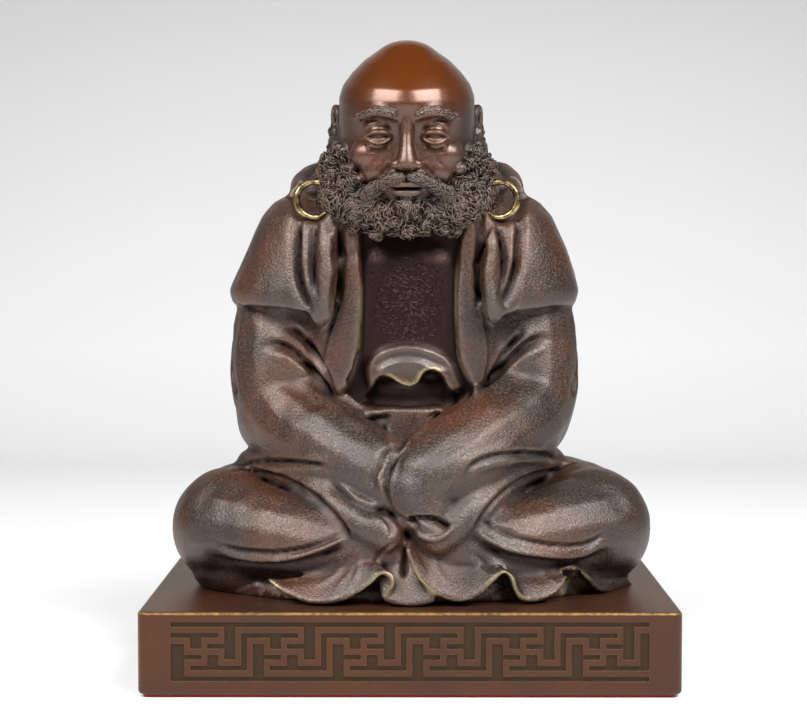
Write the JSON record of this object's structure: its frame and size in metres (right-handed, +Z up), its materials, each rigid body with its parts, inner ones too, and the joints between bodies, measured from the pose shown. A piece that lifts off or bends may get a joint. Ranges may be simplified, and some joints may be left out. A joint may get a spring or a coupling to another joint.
{
  "type": "bodhidharma statue",
  "caption": "Bronze statue of a bearded monk in a cape and long robe, seated cross-legged on a fret-carved rectangular plinth, with brass hoop earrings.",
  "frame": {"origin": "middle of the underside, on the surface that the statue stands on", "axes": "+Z up, -Y out of the figure's front, +X to the right of someone who looks at its front"},
  "size_m": [0.25, 0.175, 0.3069],
  "materials": {
    "bronze": "dark brown patinated cast bronze, polished on the crown and worn to brass along the hems",
    "plinth_bronze": "warm brown patinated cast bronze, satin",
    "brass": "rubbed brass, dull in the hollows",
    "felt": "red felt"
  },
  "bodies": {
    "root": {"figure": "bronze", "plinth": "plinth_bronze", "earring_left": "brass", "earring_right": "brass", "base_felt": "felt"}
  },
  "joints": []
}
